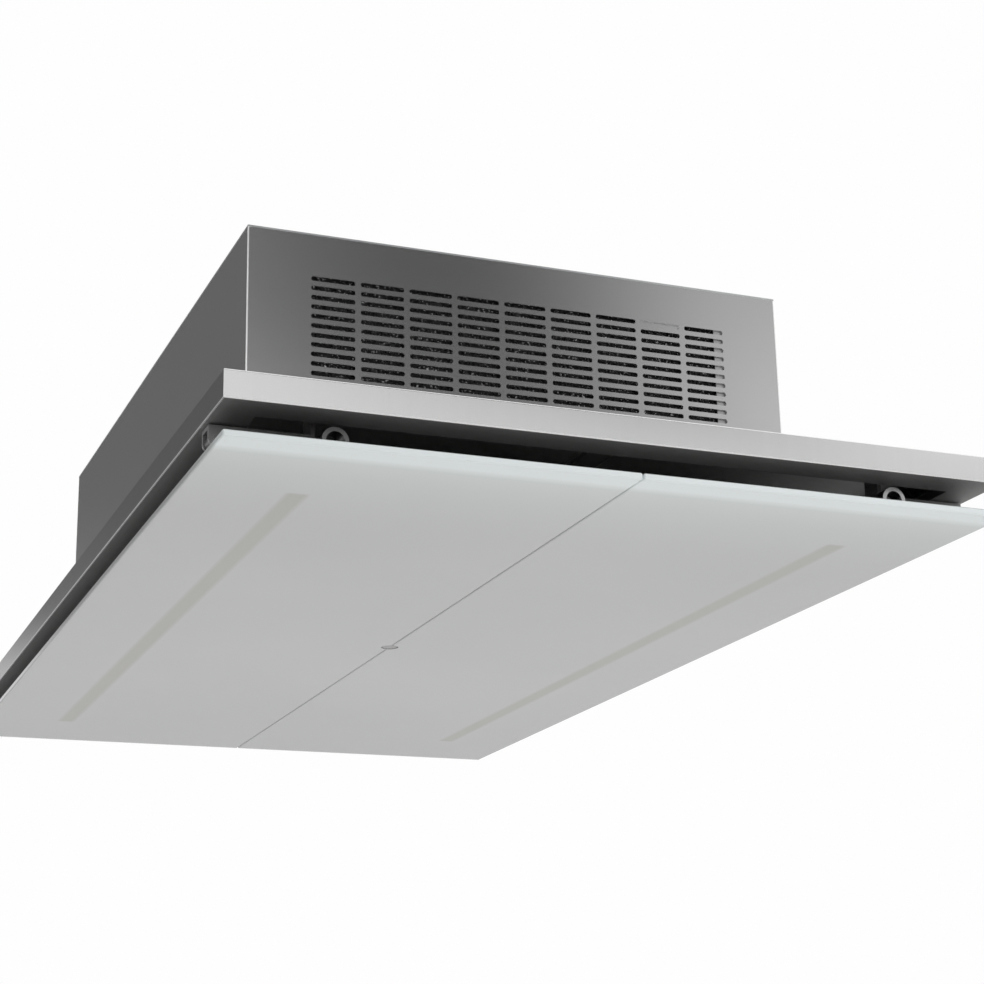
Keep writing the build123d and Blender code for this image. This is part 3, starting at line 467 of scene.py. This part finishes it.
# ---------------------------------------------------------------- materials on the CAD pieces
def dress(names, material):
    """Gives CAD nodes one material."""
    for name in names:
        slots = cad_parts[name].data.materials
        if not slots:
            slots.append(material)
        for index in range(len(slots)):
            slots[index] = material


def each(pattern, variants):
    return [pattern.format(variant) for variant in variants]


def dress_sheet_metal():
    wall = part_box("side_panel_right")[1].x
    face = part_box("vent_panel_far")[1].y
    # Painted highlights: the housing's corner edges and the faces behind the front skin, round its
    # slots, are paler
    vent_highlights = [
        PaintedLightZone("beyond", ("X", wall - HOUSING_EDGE), PAINTED_EDGE_LIGHT, SATIN_SHEEN),
        PaintedLightZone("within", ("Y", face - SLOT_WALL_DEPTH), PAINTED_EDGE_LIGHT, SATIN_SHEEN)]
    dress(each("vent_panel_{}", ENDS),
          brushed_steel("steel_vent_panels", grey(SHELL_GREY), SATIN_SHEEN, LINES_ALONG_X,
                        edge_paling=0.04, edge_round=HOUSING_EDGE,
                        rounded_past=wall - HOUSING_EDGE_STRIP, zones=vent_highlights))
    dress(["retaining_clips"],
          brushed_steel("steel_clips", grey(SHELL_GREY), SATIN_SHEEN, LINES_ALONG_X, edge_paling=0.1))
    dress(["cassette_channels"],
          coated_metal("grey_painted_channel", grey(0.40), roughness=0.50))
    dress(each("side_panel_{}", SIDES),
          brushed_steel("steel_side_panels", grey(SHELL_GREY), SATIN_SHEEN, LINES_ALONG_Y,
                        edge_round=HOUSING_EDGE))
    # Painted shade on the rim's side faces and on the flange's underside, and painted highlights
    # along its bends
    rim_light_and_shade = [
        PaintedLightZone("facing_sideways", (0.05, 0.30), brightness=0.42, roughness=SATIN_SHEEN),
        PaintedLightZone("looking_down", (0.97,), brightness=0.60, roughness=0.60),
        PaintedLightZone("on_bends", (0.998,), brightness=1.38, roughness=SATIN_SHEEN)]
    # Painted light: the rim's steel is a paler grey than the housing's, standing for the brighter
    # reflection it shows
    dress(["rim_frame"],
          brushed_steel("steel_rim", grey(0.69), SATIN_SHEEN, LINES_ALONG_Z, contrast=0.013,
                        edge_paling=0.1, zones=rim_light_and_shade))
    dress(["deck_plate"], brushed_steel("steel_deck", grey(0.66), 0.45, LINES_ALONG_Y))
    dress(["centre_rail", "filter_ledges", "catch_brackets", "latch_keeper"],
          coated_metal("grey_painted_steel", grey(0.13), roughness=0.45))
    dress(["top_plate", "partition_tray"], galvanised("galvanised_sheet", (0.62, 0.63, 0.64)))


def dress_fittings():
    dress(["deck_screws", "motor_bearing", "motor_shaft"]
          + each("latch_spring_{}", SIDES) + each("strike_plates_{}", SIDES),
          zinc_plate("zinc_plate"))
    dress(["hinge_brackets"],
          coated_metal("dull_plated_steel", grey(0.30), roughness=0.45, metallic=0.7,
                       worn=grey(0.4)))
    dress(["hinge_pins", "hinge_leaves_right"],
          coated_metal("polished_plate", grey(0.42), roughness=0.24, metallic=1.0,
                       depth=0.01 * MM, worn=grey(0.7)))
    # Painted shade: the left leaves are a darker, rougher copy of the right leaves' plate
    dress(["hinge_leaves_left"],
          coated_metal("plate_in_painted_shade", grey(0.16), roughness=0.40, metallic=1.0,
                       depth=0.01 * MM, worn=grey(0.25)))
    dress(["catch_magnets"],
          coated_metal("nickel_magnet", (0.50, 0.50, 0.51), roughness=0.25, metallic=1.0))
    dress(each("corner_buffers_{}", SIDES),
          moulded("black_silicone", grey(0.03), roughness=0.45))
    dress(["receiver_lens"], moulded("smoked_lens", (0.36, 0.355, 0.355), roughness=0.20))


def dress_panels():
    for side in SIDES:
        low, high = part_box(f"light_diffuser_{side}")
        dress([f"glass_panel_{side}"], panel_glass(f"white_glass_{side}", (low.x + high.x) / 2))
    # Painted shade: the light channels are a dark grey for the shade inside the hood
    dress(each("light_channel_{}", SIDES),
          coated_metal("channel_in_painted_shade", grey(0.11), roughness=0.40, metallic=0.6,
                       worn=grey(0.3)))
    dress(each("light_diffuser_{}", SIDES), opal_plastic("opal_diffuser"))


def dress_inside():
    dress(each("filter_frame_{}", SIDES) + each("filter_mesh_{}", SIDES),
          brushed_steel("satin_aluminium", (0.72, 0.72, 0.73), 0.34, LINES_ALONG_Y,
                        contrast=0.03))
    dress(each("light_board_{}", SIDES) + ["control_board"],
          circuit_board("green_circuit_board"))
    dress(["cable_grommet", "motor_mounts"],
          moulded("black_rubber", grey(0.020), roughness=0.65))
    dress(["receiver_body", "scroll_housing", "scroll_cover", "inlet_ring", "impeller"]
          + each("filter_latch_{}", SIDES) + each("charcoal_frame_{}", ENDS),
          moulded("black_plastic", (0.025, 0.025, 0.026), roughness=0.42))
    dress(["motor_body"],
          coated_metal("cast_motor", (0.42, 0.43, 0.44), roughness=0.45, metallic=1.0,
                       depth=0.12 * MM))
    dress(["control_box", "control_lid", "led_driver", "terminal_block"],
          moulded("pale_plastic", (0.62, 0.62, 0.60), roughness=0.45))
    dress(each("charcoal_media_{}", ENDS), charcoal_material("charcoal"))


# ---------------------------------------------------------------- pieces made here
def placed(mesh, material, body):
    """An object for a mesh, with its material, riding on a body."""
    mesh.materials.append(material)
    piece = bpy.data.objects.new(mesh.name, mesh)
    bpy.context.scene.collection.objects.link(piece)
    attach(piece, body)
    return piece


def lump_shape():
    """Corners and faces of a small twenty-sided ball of radius 1."""
    build = bmesh.new()
    bmesh.ops.create_icosphere(build, subdivisions=1, radius=1.0)
    corners = np.array([vertex.co for vertex in build.verts])
    faces = np.array([[vertex.index for vertex in face.verts] for face in build.faces])
    build.free()
    return corners, faces


def charcoal_bed(end):
    """Front layer of granules of one cassette, over a slab that closes the view behind them."""
    node = f"charcoal_media_{end}"
    low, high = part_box(node)
    dice = np.random.default_rng(GRANULE_SEED + len(end))
    outward = -1 if low.y < 0 else 1
    front, back = (low.y, high.y) if outward < 0 else (high.y, low.y)
    columns = int((high.x - low.x) / GRANULE_PITCH)
    rows = int((high.z - low.z) / GRANULE_PITCH)
    column, row = (grid.ravel() for grid in np.meshgrid(np.arange(columns), np.arange(rows)))
    count = columns * rows
    shifts = (-GRANULE_SHIFT, GRANULE_SHIFT, count)
    centres = np.column_stack([
        low.x + (column + 0.5 + dice.uniform(*shifts)) * GRANULE_PITCH,
        front - outward * dice.uniform(*GRANULE_DEPTHS, count) * GRANULE_RADIUS,
        low.z + (row + 0.5 + dice.uniform(*shifts)) * GRANULE_PITCH])
    corners, faces = lump_shape()
    sizes = GRANULE_RADIUS * dice.uniform(*GRANULE_STRETCH, (count, 1, 3))
    lumps = corners * sizes * dice.uniform(*GRANULE_LUMPS, (count, len(corners), 1))
    lumps += centres[:, None, :]
    every_face = faces + len(corners) * np.arange(count)[:, None, None]
    inner = front - outward * GRANULE_LAYER * GRANULE_RADIUS
    slab = [(x, y, z) for x in (low.x, high.x) for y in (inner, back) for z in (low.z, high.z)]
    slab_faces = [(0, 1, 3, 2), (4, 6, 7, 5), (0, 4, 5, 1),
                  (2, 3, 7, 6), (0, 2, 6, 4), (1, 5, 7, 3)]
    first = count * len(corners)
    all_places = lumps.reshape(-1, 3).tolist() + slab
    all_faces = every_face.reshape(-1, 3).tolist()
    all_faces += [tuple(first + corner for corner in face) for face in slab_faces]
    mesh = bpy.data.meshes.new(f"charcoal_granules_{end}")
    mesh.from_pydata(all_places, [], all_faces)
    piece = placed(mesh, charcoal_material(f"charcoal_granules_{end}"), "hood")
    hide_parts(node)


def expanded_mesh(side):
    """Expanded metal of one grease filter: layers of zigzag strands that meet at knuckles."""
    node = f"filter_mesh_{side}"
    low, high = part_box(node)
    build = bmesh.new()
    columns = int((high.x - low.x) / MESH_CELL_SHORT)
    steps = int((high.y - low.y) / (MESH_CELL_LONG / 2))
    pitch_x = (high.x - low.x) / columns
    pitch_y = (high.y - low.y) / steps
    half = MESH_STRAND / 2
    swing = pitch_x / 2 - half
    section = [(-half, 0), (half, 0), (half, MESH_STRAND), (-half, MESH_STRAND)]
    layer_gap = (high.z - low.z - MESH_STRAND) / (MESH_LAYERS - 1)
    for layer in range(MESH_LAYERS):
        level = low.z + layer * layer_gap
        for column in range(columns):
            middle = low.x + (column + 0.5) * pitch_x
            strand = []
            for step in range(steps + 1):
                x = middle + (swing if (step + column + layer) % 2 else -swing)
                y = low.y + step * pitch_y
                strand.append([build.verts.new((x + dx, y, level + dz)) for dx, dz in section])
            for first, second in zip(strand, strand[1:]):
                for k in range(4):
                    after = (k + 1) % 4
                    build.faces.new((first[k], first[after], second[after], second[k]))
            build.faces.new(reversed(strand[0]))
            build.faces.new(strand[-1])
    bmesh.ops.recalc_face_normals(build, faces=build.faces)
    mesh = bpy.data.meshes.new(f"expanded_mesh_{side}")
    build.to_mesh(mesh)
    build.free()
    material = coated_metal(f"expanded_aluminium_{side}", (0.68, 0.68, 0.69), roughness=0.35,
                            metallic=1.0)
    piece = placed(mesh, material, "hood")
    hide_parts(node)


def pressed_spring(side):
    """One latch spring: its CAD mesh copied into a piece of its own, in zinc-plated wire, riding
    on the hood.
    """
    node = f"latch_spring_{side}"
    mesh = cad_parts[node].data.copy()
    mesh.name = f"coil_spring_{side}"
    mesh.materials.clear()
    piece = placed(mesh, zinc_plate(f"spring_wire_{side}"), "hood")
    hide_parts(node)
    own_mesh(piece)


# ---------------------------------------------------------------- stage, light and camera
def flat_card(name, corners, material):
    mesh = bpy.data.meshes.new(name)
    mesh.from_pydata(corners, [], [tuple(range(len(corners)))])
    mesh.materials.append(material)
    card = bpy.data.objects.new(name, mesh)
    bpy.context.scene.collection.objects.link(card)
    return card


def rectangle(first_span, second_span):
    """Corners of a rectangle, in order round it."""
    (left, right), (low, high) = first_span, second_span
    return [(left, low), (right, low), (right, high), (left, high)]


def make_floor():
    level = cad_low[2] - FLOOR_DROP
    half = FLOOR_SIDE / 2
    corners = [(x, y, level) for x, y in rectangle((-half, half), (-half, half))]
    flat_card("studio_floor", corners, floor_material("pale_floor"))


def graded_card(name, y, outline, axis, stops):
    """An upright card that only reflections show, as bright along one axis as its stops say."""
    make = Nodes(name)
    ramp = make.add("ValToRGB")
    start, end = stops[0][0], stops[-1][0]
    while len(ramp.color_ramp.elements) < len(stops):
        ramp.color_ramp.elements.new(0.5)
    for element, (spot, level) in zip(ramp.color_ramp.elements, stops):
        element.position = (spot - start) / (end - start)
        element.color = (*grey(level), 1.0)
    make.join(make.ramp(make.axes(make.place())[axis], start, end), ramp.inputs["Fac"])
    glow = make.add("Emission")
    make.join(ramp.outputs["Color"], glow.inputs["Color"])
    make.join(glow.outputs["Emission"], make.tree.nodes["Material Output"].inputs["Surface"])
    card = flat_card(name, [(x, y, z) for x, z in outline], make.material)
    card.visible_camera = False
    card.visible_diffuse = False
    card.visible_shadow = False
    card.visible_transmission = False


def make_cards():
    """The studio's grey cards: three before the near end, and one past the far end.

    Each outline is in X and Z, and each stop is a place on the axis and the brightness there."""
    graded_card("card_front", y=-1.0, axis="X",
                outline=[(-1.6, 0.32), (-0.20, 0.25), (0.0, 0.10), (0.20, 0.075), (0.45, 0.045),
                         (0.60, 0.045), (1.2, 0.06), (1.2, 0.62), (0.60, 0.62), (0.42, 0.80),
                         (0.10, 0.80), (-0.10, 0.62), (-1.6, 0.62)],
                stops=[(-1.6, 0.31), (-0.1, 0.31), (0.12, 0.105), (0.28, 0.045), (0.42, 0.32),
                       (0.54, 1.05), (1.2, 1.25)])
    graded_card("card_high", y=-0.99, axis="Z", outline=rectangle((0.46, 1.2), (0.24, 0.62)),
                stops=[(0.24, 1.0), (0.36, 0.72), (0.62, 0.62)])
    graded_card("card_low", y=-1.0, axis="X", outline=rectangle((0.42, 1.2), (-0.10, 0.04)),
                stops=[(0.42, 0.75), (1.2, 0.75)])
    graded_card("card_left", y=1.5, axis="Z", outline=rectangle((-2.4, -0.10), (-0.25, 2.2)),
                stops=[(-0.25, 1.0), (0.0, 1.0), (0.08, 0.95), (0.17, 0.26), (0.35, 0.18),
                       (2.2, 0.18)])


def make_world():
    """Soft light from all round, and a white background for the camera, reflections and glass."""
    world = bpy.data.worlds.new("studio")
    bpy.context.scene.world = world
    world.use_nodes = True
    tree = world.node_tree
    background = tree.nodes["Background"]
    background.inputs["Color"].default_value = (*grey(WORLD_GREY), 1.0)
    background.inputs["Strength"].default_value = WORLD_STRENGTH
    white = tree.nodes.new("ShaderNodeBackground")
    white.inputs["Color"].default_value = (*grey(BACKGROUND_WHITE), 1.0)
    white.inputs["Strength"].default_value = 1.0
    path = tree.nodes.new("ShaderNodeLightPath")
    share = path.outputs["Is Camera Ray"]
    for kind in ("Is Glossy Ray", "Is Transmission Ray"):
        either = tree.nodes.new("ShaderNodeMath")
        either.operation = "MAXIMUM"
        tree.links.new(share, either.inputs[0])
        tree.links.new(path.outputs[kind], either.inputs[1])
        share = either.outputs["Value"]
    mix = tree.nodes.new("ShaderNodeMixShader")
    tree.links.new(share, mix.inputs["Fac"])
    tree.links.new(background.outputs["Background"], mix.inputs[1])
    tree.links.new(white.outputs["Background"], mix.inputs[2])
    tree.links.new(mix.outputs["Shader"], tree.nodes["World Output"].inputs["Surface"])


def area_lamp(name, place, target, side, watts):
    """A square lamp that metal and glass don't mirror."""
    data = bpy.data.lights.new(name, "AREA")
    data.size = side
    data.energy = watts
    lamp = bpy.data.objects.new(name, data)
    lamp.location = place
    lamp.rotation_euler = (Vector(target) - Vector(place)).to_track_quat("-Z", "Y").to_euler()
    lamp.visible_glossy = False
    bpy.context.scene.collection.objects.link(lamp)


def make_lamps():
    area_lamp("key", place=(1.6, -2.6, 0.6), target=(0, 0, -0.1), side=1.4, watts=34)
    area_lamp("fill_below", place=(0.1, 0.3, -1.2), target=(0, 0.2, -0.2), side=2.4, watts=11.7)
    area_lamp("top", place=(0, 0.2, 2.4), target=(0, 0, 0), side=2.0, watts=40)


def make_camera():
    data = bpy.data.cameras.new("photo_camera")
    data.sensor_width = SENSOR_SIDE
    data.lens = SENSOR_SIDE * PHOTO_FOCAL / PHOTO_SIDE
    data.clip_end = CAMERA_REACH
    camera = bpy.data.objects.new("photo_camera", data)
    heading = Matrix.Rotation(CAMERA_HEADING, 4, "Z")
    tilt = Matrix.Rotation(math.pi / 2 + CAMERA_TILT, 4, "X")
    roll = Matrix.Rotation(CAMERA_ROLL, 4, "Z")
    camera.matrix_world = Matrix.Translation(CAMERA_PLACE) @ heading @ tilt @ roll
    bpy.context.scene.collection.objects.link(camera)
    bpy.context.scene.camera = camera


make_camera()
dress_sheet_metal()
dress_fittings()
dress_panels()
dress_inside()
for end in ENDS:
    charcoal_bed(end)
for side in SIDES:
    expanded_mesh(side)
    pressed_spring(side)
make_floor()
make_cards()
make_world()
make_lamps()
bpy.context.scene.view_settings.view_transform = "Standard"
